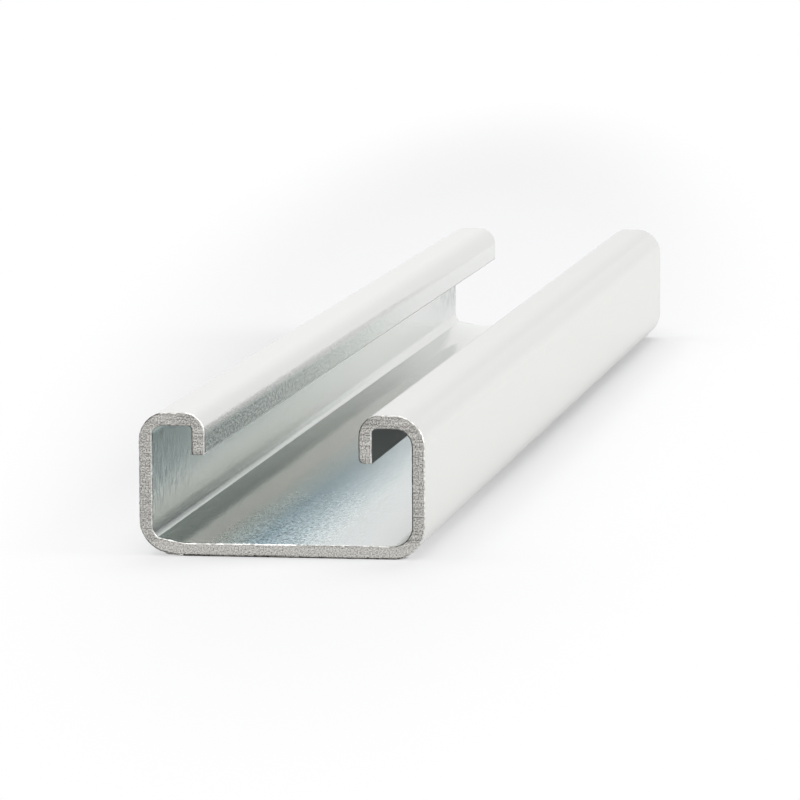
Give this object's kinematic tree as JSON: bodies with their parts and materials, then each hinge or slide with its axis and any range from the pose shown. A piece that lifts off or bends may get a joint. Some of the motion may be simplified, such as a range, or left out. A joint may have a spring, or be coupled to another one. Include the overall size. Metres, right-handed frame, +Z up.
{
  "type": "strut channel",
  "caption": "Shallow plain steel strut channel: one roll-formed C-section strip with two inturned lips beside a full-length slot, sawn square at both ends.",
  "frame": {"origin": "under the middle of the web, half way along the channel, on the surface it lies on", "axes": "+X across the section to the right as seen from the front end, +Y along the channel away from the front end, +Z up out of the slot"},
  "size_m": [0.0412, 0.3, 0.0206],
  "materials": {
    "galvanised_steel": "pre-galvanised zinc, satin with a fine spangle; bare sawn steel at both ends"
  },
  "bodies": {
    "root": {"channel": "galvanised_steel"}
  },
  "joints": []
}
